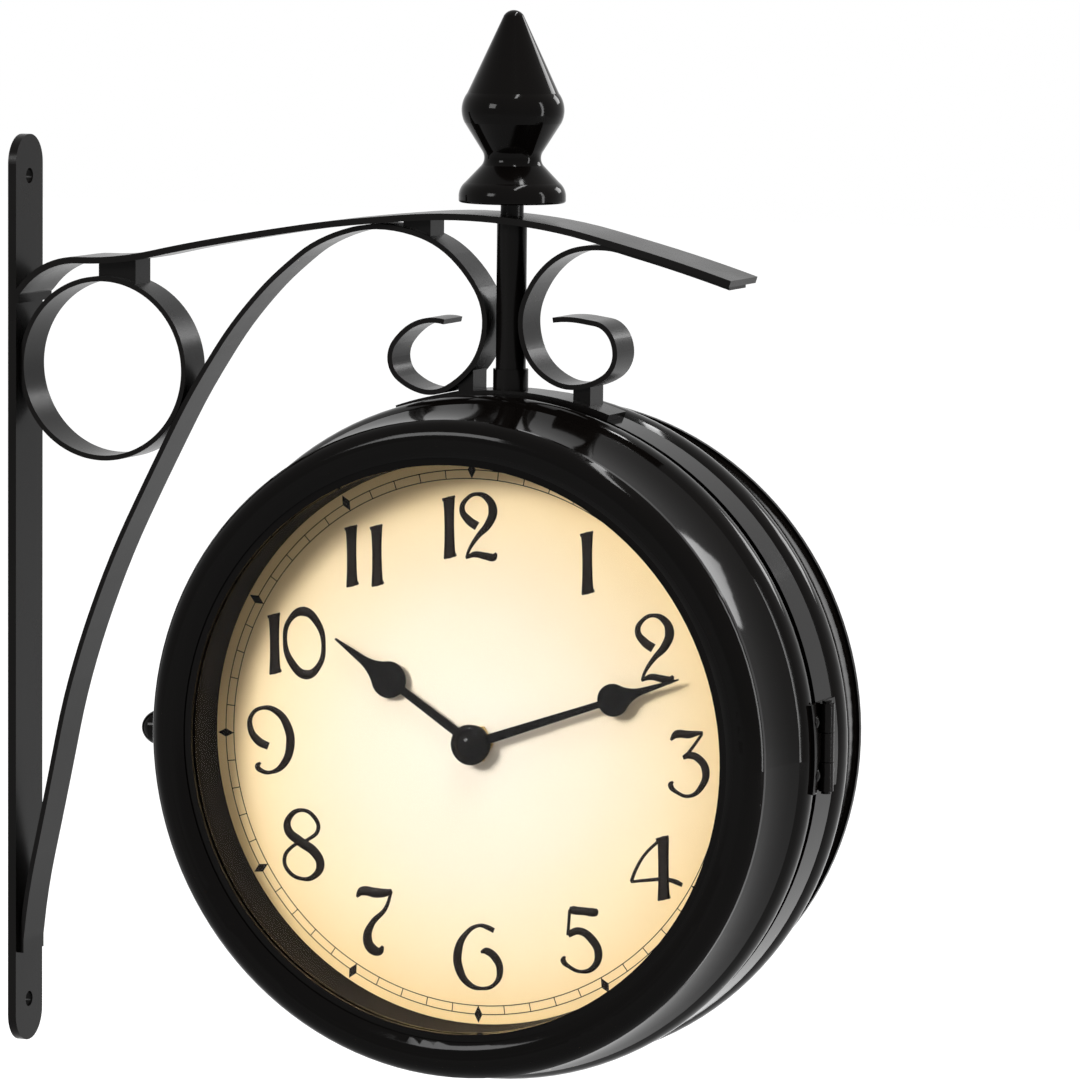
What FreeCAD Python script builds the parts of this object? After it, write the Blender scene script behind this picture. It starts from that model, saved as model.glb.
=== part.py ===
"""Double sided station clock on a wall bracket.

Frame: the origin is the middle of the wall plate's back face, +X points out
of the wall, +Z is up, and the front dial looks towards -Y.  The clock itself
is drawn in its own frame, whose origin is the middle of the case and whose
Y axis runs through both dials; hang() carries a finished piece from there to
the wall frame.  All lengths are millimetres, all angles are degrees.
"""
import FreeCAD, Part
import math
import os

V = FreeCAD.Vector
os.makedirs("parts", exist_ok=True)

# ---------------------------------------------------------------- wall side
PLATE_LENGTH = 325.6        # wall plate, top to bottom
PLATE_WIDTH = 21.0
PLATE_T = 3.2
PLATE_HOLE_INSET = 14.8     # the two screw holes, in from the plate's ends
PLATE_HOLE_R = 2.75
CASE_OUT = 188.5            # wall to the axis of the dials
CASE_DROP = 40.0            # plate middle down to the axis of the dials

# ---------------------------------------------------------------- iron work
ARM_WIDTH = 26.0            # flat bar on top
ARM_T = 2.3
STRIP_WIDTH = 16.0          # scroll work, ring and saddle
STRIP_T = 1.8
SCROLL_SHORT = 2.4          # arm scroll stops short of the arm's end
SADDLE_T = 2.2
SADDLE_HALF_ANGLE = 19.4
RING_ARM_GAP = 4.6          # the ring fits between plate, arm and strut
RING_STRUT_GAP = 0.11
POST_R = 5.2
POST_BORE_R = 3.0
POST_FOOT_R = 6.1
POST_FOOT_H = 7.0
ROD_R = 2.5
ROD_SPARE = 1.9             # rod below its nut, and air above it in the finial
ROD_HOLE_R = 2.7
NECK_R = 4.0
NECK_H = 4.1
FINIAL_H = 66.0
FINIAL_SOCKET = 22.0
HANG_NUT_R = 6.0
HANG_NUT_H = 5.0
SPACER_WIDTH = 12.0

# ---------------------------------------------------------------- case
CREST_R = 118.6             # the roll round each half, the widest of the case
FACE_D = 47.0               # front flange of a half, from the mid plane
SHEET = 1.2
BAND_DROP = 1.1             # hoop round the middle of the case, below the roll
BAND_HALF = 8.0             # half the width of the hoop
BAND_FIT = 0.1              # hoop over the rim of the rear half
SEAM_GAP = 0.3              # front half to hoop
RIM_STEP_D = 9.5            # where the roll leaves the rim
CREST_D = 16.5              # the roll is close to the hoop
ROLL_END_DROP = 2.4         # where the roll turns into the hollow
ROLL_END_D = 23.5
HOLLOW_DROP = 5.3           # the hollow between roll and bezel
HOLLOW_D = 34.0
NECKING_DROP = 6.8          # the neck under the bezel
NECKING_H = 2.0
BEZEL_OVER = 1.0            # bezel past the neck
BEZEL_LIP = 5.5             # bezel height over the front flange
BEZEL_SIDE = 1.8            # upright part of the bezel's outside
SIGHT_LIP_W = 2.6           # flat lip round the glass
SIGHT_LIP_DROP = 2.1        # and its depth below the ridge
FRAME_WIDTH = 21.1          # from the roll in to the dial that can be seen
LENS_T = 2.0
LENS_SEAT = 4.2             # lens, past the sight edge
LENS_PLAY = 0.3
DIAL_DEPTH = 18.2           # dial face behind the front flange
DIAL_T = 1.0
DIAL_SEAT = 6.6
RING_FOOT = 7.1             # flanges of the dial ring, past the sight edge
RING_FLANGE = 9.1
BAND_R = CREST_R - BAND_DROP
NECKING_R = CREST_R - NECKING_DROP
BEZEL_R = NECKING_R + BEZEL_OVER
SIGHT_R = CREST_R - FRAME_WIDTH
LENS_R = SIGHT_R + LENS_SEAT
DIAL_R = SIGHT_R + DIAL_SEAT
RING_FOOT_R = SIGHT_R + RING_FOOT
RING_FLANGE_R = SIGHT_R + RING_FLANGE
DIAL_D = FACE_D - DIAL_DEPTH
FAR = 4 * CREST_R           # longer than the clock in any direction, for cuts

# ---------------------------------------------------------------- hinge
HINGE_CLEAR = 0.3           # hoop to knuckle
HINGE_D = 8.15
HINGE_Z = 3.5
HINGE_H = 30.0
LEAF_T = 1.2
LEAF_FIXED_D = 5.9          # edge of the fixed leaf, forward of the mid plane
LEAF_NOTCH = 0.55           # extra room for the turning knuckle
LEAF_MOVING_D = 10.8
LEAF_MOVING_END_D = 18.0
KNUCKLE_R = 2.5
HINGE_X = BAND_R + KNUCKLE_R + HINGE_CLEAR
KNUCKLE_GAP = 0.3
PIN_R = 1.0
PIN_PLAY = 0.05
PIN_HEAD_R = 1.7
PIN_HEAD_H = 0.9
WEB_REACH = 1.3             # knuckle axis in to the outside of its web
RIVET_R = 1.3
RIVET_HEAD_R = 2.3
RIVET_HEAD_H = 0.9
RIVET_TAIL_R = 2.0
RIVET_TAIL_H = 0.7
RIVET_SET = 0.22            # flat tail inside the curved sheet
RIVET_HALF_SPACING = 9.0
RIVET_FIXED_D = -2.2
RIVET_MOVING_D = 14.6

# ---------------------------------------------------------------- latch
LATCH_D = 18.0              # knob axis, forward of the mid plane
LATCH_Z = -3.5
KNOB_R = 5.9
KNOB_CLEAR = 0.2
KNOB_LENGTH = 12.8
KNOB_BASE_X = -CREST_R - KNOB_CLEAR
KNOB_TIP_X = KNOB_BASE_X - KNOB_LENGTH
SPINDLE_R = 2.0
SPINDLE_PLAY = 0.06
BUSH_R = 4.2
BUSH_SHORT = 0.5            # bush to knob
BUSH_LENGTH = 6.2
BUSH_OUT_X = KNOB_BASE_X + BUSH_SHORT
BUSH_IN_X = BUSH_OUT_X + BUSH_LENGTH
STUD_R = 1.5
STUD_D = 3.0                # stud axis, forward of the mid plane
STUD_REACH = 8.5            # in from the hoop
HOOK_REACH = 6.5
STUD_END_X = STUD_REACH - BAND_R
HOOK_X = HOOK_REACH - BAND_R
HOOK_T = 1.5
HOOK_CLEAR = 0.6
HOOK_BAND = 2.5
HOOK_BOSS_R = 4.5
LATCH_TURN = 60.0
HOOK_TAIL = 8.0             # ends of the hook's band and of its spoke, about the spindle
HOOK_SPOKE = -14.0
HOOK_END = -25.0

# ---------------------------------------------------------------- movement
CELL_R = 6.9
CELL_LENGTH = 49.0
CELL_CAP_R = 2.7
CELL_CAP_H = 1.2
CELL_PLAY = 0.7
CELL_SPRING = 4.0           # room for both contacts and the cap
CONTACT_T = 0.5
CONTACT_HALF = 5.0
MOVE_WALL = 1.5
MOVE_DEPTH = 16.5
MOVE_CORNER = 4.0
MOVE_SIZE = CELL_LENGTH + CELL_SPRING + 2 * MOVE_WALL   # square housing
HALF_IN = MOVE_SIZE / 2 - MOVE_WALL
BAY_TOP_Z = 2 * CELL_R + CELL_PLAY + MOVE_WALL - HALF_IN   # battery bay below, wheels above
WASHER_T = 1.0
WASHER_R = 10.0
COVER_T = 1.5
THREAD_R = 4.0
DIAL_HOLE_R = 4.2
BUSH_REACH = 1.6            # threaded bush, in front of the dial
NUT_T = 1.3
NUT_FLATS = 12.0
PIPE_R = 2.55               # hour pipe
PIPE_PLAY = 0.07
PIPE_REACH = 2.9
ARBOR_R = 1.5               # minute arbor
ARBOR_REACH = 6.5
RUN_PLAY = 0.06
PIVOT_R = 1.0
PINION_TEETH = 12
MOTION_TEETH = 36
MOTION_PINION_TEETH = 10
HOUR_TEETH = 40
TOOTH_HEIGHT = 0.75         # over the pitch circle, in modules
WHEEL_CLEAR = 0.54          # hour wheel to the wall of the battery bay
MODULE_HOUR = (-BAY_TOP_Z - WHEEL_CLEAR) / (HOUR_TEETH / 2 + TOOTH_HEIGHT)
CENTRES = MODULE_HOUR * (MOTION_PINION_TEETH + HOUR_TEETH) / 2   # of both pairs
MODULE = 2 * CENTRES / (PINION_TEETH + MOTION_TEETH)             # arbor pinion and motion wheel
LOW_GEAR_IN = 5.2           # in from the housing's back edge
HIGH_GEAR_IN = 9.2
BOARD_IN = 11.8
CELL_IN = 7.8
GEAR_T = 2.0
STUD_PIN_R = 0.8
STUD_PIN_PLAY = 0.05
SET_KNOB_R = 5.5
SET_KNOB_OUT = 4.2
SET_KNOB_T = 2.4
WASHER_D = DIAL_D - DIAL_T - WASHER_T
MOVE_BACK_D = WASHER_D - MOVE_DEPTH
FRONT_WALL_D = WASHER_D - MOVE_WALL
THREAD_END_D = DIAL_D + BUSH_REACH
PIPE_END_D = DIAL_D + PIPE_REACH
ARBOR_END_D = DIAL_D + ARBOR_REACH
LOW_GEAR_D = MOVE_BACK_D + LOW_GEAR_IN
HIGH_GEAR_D = MOVE_BACK_D + HIGH_GEAR_IN
BOARD_D = MOVE_BACK_D + BOARD_IN
CELL_D = MOVE_BACK_D + CELL_IN
CELL_Z = BAY_TOP_Z - MOVE_WALL - CELL_R - 0.1
SET_KNOB_D = MOVE_BACK_D - SET_KNOB_OUT

# ---------------------------------------------------------------- hands
HOUR_HAND = 61.5
HOUR_BULB_AT = 37.5
HOUR_BULB_R = 6.4
MINUTE_HAND = 80.5
MINUTE_BULB_AT = 55.4
MINUTE_BULB_R = 5.6
HAND_T = 0.7
HAND_HUB_R = 6.6
HOUR_HAND_LIFT = 2.1        # back of each hand, in front of the dial
MINUTE_HAND_LIFT = 3.8
COLLET_R = 3.6
COLLET_CLEAR = 0.35
CAP_R = 7.0
CAP_DOME_R = 5.2
CAP_LIFT = 8.2
HOUR_HAND_D = DIAL_D + HOUR_HAND_LIFT
MINUTE_HAND_D = DIAL_D + MINUTE_HAND_LIFT
CAP_END_D = DIAL_D + CAP_LIFT
HOUR_ANGLE = 303.0          # twelve past ten, clockwise from twelve
MINUTE_ANGLE = 70.5

OUT = V(1, 0, 0)
BACK = V(0, 1, 0)
UP = V(0, 0, 1)
ZERO = V(0, 0, 0)


# ================================================================ helpers
def save(name, shape):
    """Write one node."""
    shape.exportStep("parts/" + name + ".step")


def hang(shape):
    """Carry a piece from the clock's frame to the wall frame."""
    moved = shape.copy()
    moved.translate(V(CASE_OUT, 0, -CASE_DROP))
    return moved


def turn_about(shape, degrees, axis=UP, centre=ZERO):
    """A copy turned about an axis."""
    turned_copy = shape.copy()
    turned_copy.rotate(centre, axis, degrees)
    return turned_copy


def rear(shape):
    """The same piece in the rear half."""
    return turn_about(shape, 180)


def arc(start, middle, end):
    return Part.Arc(start, middle, end).toShape()


def dome(place, radius, height, top):
    """The arc of a ball's cap, from its edge to its top on the axis."""
    middle = (top ** 2 - height ** 2 - radius ** 2) / (2 * (top - height))
    ball = top - middle
    half_turn = math.asin(radius / ball) / 2
    return arc(place(radius, height),
               place(ball * math.sin(half_turn), middle + ball * math.cos(half_turn)),
               place(0, top))


def line(start, end):
    return Part.makeLine(start, end)


def polygon_face(points):
    return Part.Face(Part.makePolygon(points + [points[0]]))


def rd(radius, forward):
    """A point of a turned section: radius, and distance forward of the mid plane."""
    return V(radius, -forward, 0)


def turned(face):
    """Spin a section round the axis of the dials."""
    return face.revolve(ZERO, BACK, 360)


def rod(radius, d_back, d_front, x=0.0, z=0.0):
    """A round bar along the axis of the dials."""
    return Part.makeCylinder(radius, d_front - d_back, V(x, -d_back, z), V(0, -1, 0))


def tube(outer, inner, d_back, d_front, x=0.0, z=0.0):
    return rod(outer, d_back, d_front, x, z).cut(rod(inner, d_back - 1, d_front + 1, x, z))


def post(radius, z_low, z_high, x=0.0, y=0.0):
    """An upright round bar."""
    return Part.makeCylinder(radius, z_high - z_low, V(x, y, z_low), UP)


def bar_x(radius, x_low, x_high, d=0.0, z=0.0):
    """A round bar along X."""
    return Part.makeCylinder(radius, x_high - x_low, V(x_low, -d, z), OUT)


def box(x_low, x_high, y_low, y_high, z_low, z_high):
    return Part.makeBox(x_high - x_low, y_high - y_low, z_high - z_low, V(x_low, y_low, z_low))


def group(shapes):
    return Part.makeCompound(shapes)


def one(shape):
    """The single solid of a result."""
    assert len(shape.Solids) == 1, len(shape.Solids)
    return shape.Solids[0]


def tangent_arc(start, heading, end):
    """The arc that leaves start on a heading and ends at end, with its last heading."""
    chord = math.degrees(math.atan2(end.z - start.z, end.x - start.x))
    bend = (chord - heading + 180.0) % 360.0 - 180.0
    if abs(bend) < 0.05:
        return line(start, end), heading + 2 * bend
    half = (end - start).Length / 2
    sag = half * math.tan(math.radians(bend) / 2)
    across = V(math.sin(math.radians(chord)), 0, -math.cos(math.radians(chord)))
    return arc(start, (start + end) * 0.5 + across * sag, end), heading + 2 * bend


def heading_between(before, here, after):
    """The heading at a point of a curve, from the circle through it and its neighbours."""
    a = here - before
    b = after - here
    way = a * (b.Length / a.Length) + b * (a.Length / b.Length)
    return math.degrees(math.atan2(way.z, way.x))


def two_arcs(start, heading, end, end_heading):
    """Two arcs that leave and arrive on given headings and meet smoothly."""
    go = V(math.cos(math.radians(heading)), 0, math.sin(math.radians(heading)))
    come = V(math.cos(math.radians(end_heading)), 0, math.sin(math.radians(end_heading)))
    way = end - start
    both = way.dot(go + come)
    bend = 2 * (1 - go.dot(come))
    if bend < 1e-6:
        step = way.dot(way) / (2 * both)
    else:
        step = (math.sqrt(both ** 2 + bend * way.dot(way)) - both) / bend
    meet = (start + go * step + end - come * step) * 0.5
    first, heading = tangent_arc(start, heading, meet)
    second, heading = tangent_arc(meet, heading, end)
    return [first, second]


def bent_path(points, start_heading=None):
    """A smooth curve of arcs through points (x, z); a given first heading adds nothing else."""
    spots = [V(x, 0, z) for x, z in points]
    headings = [heading_between(*spots[i - 1:i + 2]) for i in range(1, len(spots) - 1)]
    chord = spots[1] - spots[0]
    first = 2 * math.degrees(math.atan2(chord.z, chord.x)) - headings[0]
    headings.insert(0, first if start_heading is None else start_heading)
    chord = spots[-1] - spots[-2]
    headings.append(2 * math.degrees(math.atan2(chord.z, chord.x)) - headings[-1])
    edges = []
    for i in range(len(spots) - 1):
        edges += two_arcs(spots[i], headings[i], spots[i + 1], headings[i + 1])
    return edges, headings


def flat_bar(path, thickness, width):
    """A strip bent on the flat: one face follows the path, the metal lies to one side."""
    section = path.makeOffset2D(thickness, 0, True, True)
    bar = section.Faces[0].extrude(V(0, width, 0))
    bar.translate(V(0, -width / 2, 0))
    return bar


def gear(teeth, module, d_back, thickness, phase=0.0):
    """A spur gear about the axis of the dials, with play at its flanks."""
    pitch_r = module * teeth / 2
    step = 360.0 / teeth
    tip_r = pitch_r + TOOTH_HEIGHT * module
    root_r = pitch_r - 1.05 * module
    body = rod(root_r, d_back, d_back + thickness)
    tooth_shapes = []
    for i in range(teeth):
        corners = []
        for radius, share in ((root_r - 0.1, -0.25), (pitch_r, -0.19), (tip_r, -0.10),
                              (tip_r, 0.10), (pitch_r, 0.19), (root_r - 0.1, 0.25)):
            a = math.radians(phase + step * (i + share))
            corners.append(V(radius * math.sin(a), -d_back, radius * math.cos(a)))
        tooth_shapes.append(polygon_face(corners).extrude(V(0, -thickness, 0)))
    return body.fuse(tooth_shapes)


def shift(shape, x, z):
    moved = shape.copy()
    moved.translate(V(x, 0, z))
    return moved


def hexagon(flats, d_back, d_front, bore):
    corners = []
    for i in range(6):
        a = math.radians(60 * i)
        r = flats / math.sqrt(3)
        corners.append(V(r * math.cos(a), -d_back, r * math.sin(a)))
    prism = polygon_face(corners).extrude(V(0, d_back - d_front, 0))
    return prism.cut(rod(bore, d_back - 1, d_front + 1))


def rounded_square(size, corner, d_back, d_front):
    block = box(-size / 2, size / 2, -d_front, -d_back, -size / 2, size / 2)
    long_edges = [e for e in block.Edges if abs(e.tangentAt(e.FirstParameter).y) > 0.9]
    return block.makeFillet(corner, long_edges)


# ================================================================ bracket
PLATE_FACE_X = PLATE_T - CASE_OUT
PLATE_LOW_Z = CASE_DROP - PLATE_LENGTH / 2
PLATE_HIGH_Z = CASE_DROP + PLATE_LENGTH / 2
SADDLE_R = BAND_R + SADDLE_T
RIM_R = BAND_R - SHEET - BAND_FIT

# The scroll work is drawn for one reach and one saddle, and follows both.
ARM_FOOT = ((-185.3, 143.5), (-185.3, 146.6))
DRAWN_SADDLE_R = 119.7
STRETCH = PLATE_FACE_X / ARM_FOOT[0][0]
RISE = SADDLE_R - DRAWN_SADDLE_R


def on_bracket(drawn):
    """Points of the drawing, fitted to the reach and to the saddle."""
    return [(x * STRETCH if x < 0 else x, z + RISE) for x, z in drawn]


plate = box(-CASE_OUT, PLATE_FACE_X, -PLATE_WIDTH / 2, PLATE_WIDTH / 2, PLATE_LOW_Z, PLATE_HIGH_Z)
plate_ends = [e for e in plate.Edges
              if abs(e.tangentAt(e.FirstParameter).x) > 0.9]
plate = plate.makeFillet(PLATE_WIDTH / 2 - 0.2, plate_ends)
for hole_z in (PLATE_LOW_Z + PLATE_HOLE_INSET, PLATE_HIGH_Z - PLATE_HOLE_INSET):
    plate = plate.cut(bar_x(PLATE_HOLE_R, -CASE_OUT - PLATE_T, PLATE_FACE_X + PLATE_T, 0, hole_z))
save("wall_plate", hang(one(plate)))

# The top arm: a foot against the plate, then one arch over the clock.
ARM_POINTS = ((-185.3, 146.6), (-183.3, 149.4), (-131.6, 163.8), (-93.0, 171.5),
              (-55.1, 177.3), (-10.2, 180.2), (16.3, 178.0), (49.7, 170.7), (85.4, 160.6))
foot_low, foot_high = [V(x, 0, z) for x, z in on_bracket(ARM_FOOT)]
arm_spots = on_bracket(ARM_POINTS)
arm_edges, arm_headings = bent_path(arm_spots, 90)
arm_path = Part.Wire([line(foot_low, foot_high)] + arm_edges)
arm_blank = flat_bar(arm_path, -ARM_T, ARM_WIDTH)
rod_hole = post(ROD_HOLE_R, 0, FAR)
top_arm = one(arm_blank.cut(rod_hole))
save("top_arm", hang(top_arm))
above_arm = arm_blank.fuse(flat_bar(arm_path, 4 * ARM_T, ARM_WIDTH + ARM_T))
ARM_TOP_Z = arm_blank.common(post(ROD_R, 0, FAR)).BoundBox.ZMax
NECK_TOP_Z = ARM_TOP_Z + NECK_H

# The strut scroll: up from the plate, along under the arm, curled in at its end.
STRUT_FOOT = ((-185.3, -90.0), (-185.3, -86.0))
STRUT_POINTS = ((-185.3, -86.0), (-184.9, -82.0), (-174.6, -28.5), (-165.8, 9.8),
                (-152.3, 48.1), (-133.1, 88.1), (-115.2, 120.6), (-100.1, 142.2),
                (-84.5, 158.5), (-69.6, 169.4), (-44.0, 175.4), (-18.5, 166.0), (-5.8, 141.0),
                (-12.0, 125.5), (-30.5, 117.4), (-43.0, 129.5), (-36.7, 140.0),
                (-28.8, 143.6), (-21.6, 143.4))
foot_low, foot_high = [V(x, 0, z) for x, z in on_bracket(STRUT_FOOT)]
strut_edges, strut_headings = bent_path(on_bracket(STRUT_POINTS), 90)
strut_path = Part.Wire([line(foot_low, foot_high)] + strut_edges)
strut_scroll = one(flat_bar(strut_path, -STRIP_T, STRIP_WIDTH).cut(arm_blank))
save("strut_scroll", hang(strut_scroll))


# The arm scroll: flat under the arm's free end, then down and curled in.
def under_arm(spot, heading):
    """The point of the arm's underside below a point of its top."""
    a = math.radians(heading)
    return spot[0] + ARM_T * math.sin(a), spot[1] - ARM_T * math.cos(a)


SCROLL_POINTS = ((38.0, 170.8), (21.2, 167.7), (10.6, 157.8), (5.8, 143.0),
                 (13.8, 125.4), (26.0, 120.9), (42.5, 134.2), (38.6, 142.8), (29.0, 145.6),
                 (18.5, 145.5))
scroll_start = under_arm(arm_spots[-1], arm_headings[-1])
scroll_bend = under_arm(arm_spots[-2], arm_headings[-2])
scroll_edges, scroll_headings = bent_path([scroll_bend] + on_bracket(SCROLL_POINTS),
                                          180 + arm_headings[-2])
scroll_run = two_arcs(V(scroll_start[0], 0, scroll_start[1]), 180 + arm_headings[-1],
                      V(scroll_bend[0], 0, scroll_bend[1]), 180 + arm_headings[-2])
arm_scroll = flat_bar(Part.Wire(scroll_run + scroll_edges), STRIP_T, STRIP_WIDTH)
arm_end_x = arm_spots[-1][0]
arm_scroll = arm_scroll.cut(box(arm_end_x - SCROLL_SHORT, arm_end_x + ARM_WIDTH, -ARM_WIDTH,
                                ARM_WIDTH, 0, FAR))
arm_scroll = one(arm_scroll.cut(above_arm))
save("arm_scroll", hang(arm_scroll))


# The ring is as large as fits between plate, arm and strut.
def ring_under_arm(ring_r):
    """The height of a ring of that size below the arm, and its gap to the strut."""
    ring_x = PLATE_FACE_X + ring_r
    low = ring_r
    high = PLATE_HIGH_Z
    for i in range(30):
        ring_z = (low + high) / 2
        room = Part.Vertex(ring_x, 0, ring_z).distToShape(arm_path)[0] - ARM_T
        if room > ring_r + RING_ARM_GAP:
            low = ring_z
        else:
            high = ring_z
    return ring_z, Part.Vertex(ring_x, 0, ring_z).distToShape(strut_path)[0] - ring_r


small_r = PLATE_WIDTH / 2
large_r = 3 * PLATE_WIDTH
for i in range(30):
    RING_R = (small_r + large_r) / 2
    RING_Z, strut_gap = ring_under_arm(RING_R)
    if strut_gap > RING_STRUT_GAP:
        small_r = RING_R
    else:
        large_r = RING_R
RING_X = PLATE_FACE_X + RING_R
RING_SIDE_Y = -STRIP_WIDTH / 2
ring_blank = Part.makeCylinder(RING_R, STRIP_WIDTH, V(RING_X, RING_SIDE_Y, RING_Z), BACK)
ring = ring_blank.cut(Part.makeCylinder(RING_R - STRIP_T, STRIP_WIDTH,
                                        V(RING_X, RING_SIDE_Y, RING_Z), BACK))
save("ring", hang(one(ring)))

# The saddle on top of the case.
half = math.radians(SADDLE_HALF_ANGLE)
wedge_r = 1.2 * SADDLE_R
wedge = polygon_face([V(0, -STRIP_WIDTH / 2, 0),
                      V(-wedge_r * math.sin(half), -STRIP_WIDTH / 2, wedge_r * math.cos(half)),
                      V(wedge_r * math.sin(half), -STRIP_WIDTH / 2, wedge_r * math.cos(half))])
wedge = wedge.extrude(V(0, STRIP_WIDTH, 0))
saddle_blank = tube(SADDLE_R, BAND_R, -STRIP_WIDTH / 2, STRIP_WIDTH / 2).common(wedge)
saddle_strap = one(saddle_blank.cut(rod_hole))
save("saddle_strap", hang(saddle_strap))

# The post between saddle and arm, with its foot collar.
post_top_z = ARM_TOP_Z - ARM_T / 2
post_low_z = SADDLE_R - POST_FOOT_H
post_tube = post(POST_R, post_low_z, post_top_z)
post_tube = post_tube.fuse(post(POST_FOOT_R, post_low_z, SADDLE_R + POST_FOOT_H))
post_tube = post_tube.cut(post(POST_BORE_R, 0, FAR))
post_tube = post_tube.cut(rod(SADDLE_R, -STRIP_WIDTH, STRIP_WIDTH))
post_tube = one(post_tube.cut(arm_blank))
save("post_tube", hang(post_tube))

nut_low_z = RIM_R - SHEET - HANG_NUT_H
tie_rod = post(ROD_R, nut_low_z - ROD_SPARE, NECK_TOP_Z + FINIAL_SOCKET - ROD_SPARE)
save("tie_rod", hang(tie_rod))

neck_nut = post(NECK_R, post_top_z, NECK_TOP_Z)
neck_nut = neck_nut.cut(post(ROD_R, 0, FAR))
neck_nut = one(neck_nut.cut(arm_blank))
save("neck_nut", hang(neck_nut))

# The nut that carries the clock, fitted to the inside of the case.
hanging_nut = post(HANG_NUT_R, nut_low_z, BAND_R)
hanging_nut = hanging_nut.common(rod(RIM_R - SHEET, -STRIP_WIDTH, STRIP_WIDTH))
hanging_nut = one(hanging_nut.cut(post(ROD_R, 0, FAR)))
save("hanging_nut", hang(hanging_nut))


# The finial, turned about the tie rod.
def rz(radius, height):
    return V(radius, 0, NECK_TOP_Z + height)


# Its outline in steps of (kind, radius, height, radius, height), from the foot up.
FINIAL_STEPS = (("line", 17.6, 0.0), ("arc", 18.24, 0.26, 18.5, 0.9), ("line", 18.5, 2.2),
                ("arc", 18.0, 4.6, 16.2, 7.0), ("line", 10.6, 12.9),
                ("arc", 9.8, 15.2, 10.6, 17.8), ("line", 16.7, 27.4),
                ("arc", 17.7, 31.4, 15.7, 37.7), ("line", 3.4, 64.2))
FINIAL_DRAWN_H = 66.0
tall = FINIAL_H / FINIAL_DRAWN_H
finial_edges = []
here = rz(0, 0)
for step in FINIAL_STEPS:
    if step[0] == "line":
        there = rz(step[1], step[2] * tall)
        finial_edges.append(line(here, there))
    else:
        there = rz(step[3], step[4] * tall)
        finial_edges.append(arc(here, rz(step[1], step[2] * tall), there))
    here = there
finial_edges.append(dome(rz, FINIAL_STEPS[-1][1], FINIAL_STEPS[-1][2] * tall, FINIAL_H))
finial_edges.append(line(rz(0, FINIAL_H), rz(0, 0)))
finial = Part.Face(Part.Wire(finial_edges)).revolve(ZERO, UP, 360)
finial = one(finial.cut(post(ROD_R, 0, NECK_TOP_Z + FINIAL_SOCKET)))
save("finial", hang(finial))


# Welded blocks where the strips meet: each fills the space between its neighbours.
RING_BLOCK_X = (-155.0, -140.6)
STRUT_BLOCK_X = (-38.1, -27.9)
LEFT_BLOCK_X = (-17.0, -11.5)
RIGHT_BLOCK_X = (25.7, 32.0)


def weld_block(ends, under, over):
    """The space between two bodies over a stretch of x."""
    low_x, high_x = [x * STRETCH if x < 0 else x for x in ends]
    block = box(low_x, high_x, -SPACER_WIDTH / 2, SPACER_WIDTH / 2, BAND_R - 2 * SADDLE_T,
                ARM_TOP_Z + ARM_T)
    best = None
    for neighbour in (above_arm, strut_scroll, arm_scroll, saddle_blank, ring_blank):
        block = block.cut(neighbour)
    for piece in block.Solids:
        if piece.distToShape(under)[0] < 0.01 and piece.distToShape(over)[0] < 0.01:
            if best is None or piece.Volume < best.Volume:
                best = piece
    return best


blocks = [
    weld_block(RING_BLOCK_X, ring_blank, arm_blank),
    weld_block(STRUT_BLOCK_X, strut_scroll, arm_blank),
    weld_block(LEFT_BLOCK_X, saddle_blank, strut_scroll),
    weld_block(RIGHT_BLOCK_X, saddle_blank, arm_scroll),
]
save("scroll_spacers", hang(group(blocks)))


# ================================================================ case
def half_path(rim_d):
    """The outside of one half, from its rim to the sight of the dial."""
    roll_end = rd(CREST_R - ROLL_END_DROP, ROLL_END_D)
    neck_d = FACE_D - NECKING_H
    return Part.Wire([
        line(rd(RIM_R, rim_d), rd(RIM_R, RIM_STEP_D)),
        arc(rd(RIM_R, RIM_STEP_D), rd(CREST_R, CREST_D), roll_end),
        arc(roll_end, rd(CREST_R - HOLLOW_DROP, HOLLOW_D), rd(NECKING_R, neck_d)),
        line(rd(NECKING_R, neck_d), rd(NECKING_R, FACE_D)),
        line(rd(NECKING_R, FACE_D), rd(SIGHT_R, FACE_D)),
    ])


def half_shell(rim_d):
    section = half_path(rim_d).makeOffset2D(SHEET, 0, True, True)
    return one(turned(section.Faces[0]))


def half_filled(rim_d, grow=0.0):
    """One half as a full body, to fit other pieces to its outside."""
    edges = list(half_path(rim_d).Edges)
    edges.append(line(rd(SIGHT_R, FACE_D), rd(0, FACE_D)))
    edges.append(line(rd(0, FACE_D), rd(0, rim_d)))
    edges.append(line(rd(0, rim_d), rd(RIM_R, rim_d)))
    face = Part.Face(Part.Wire(Part.sortEdges(edges)[0]))
    return turned(face)


FRONT_RIM_D = BAND_HALF + SEAM_GAP
front_shell = half_shell(FRONT_RIM_D)
rear_shell = rear(half_shell(-BAND_HALF))
front_filled = half_filled(FRONT_RIM_D)
centre_band = tube(BAND_R, BAND_R - SHEET, -BAND_HALF, BAND_HALF)

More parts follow.
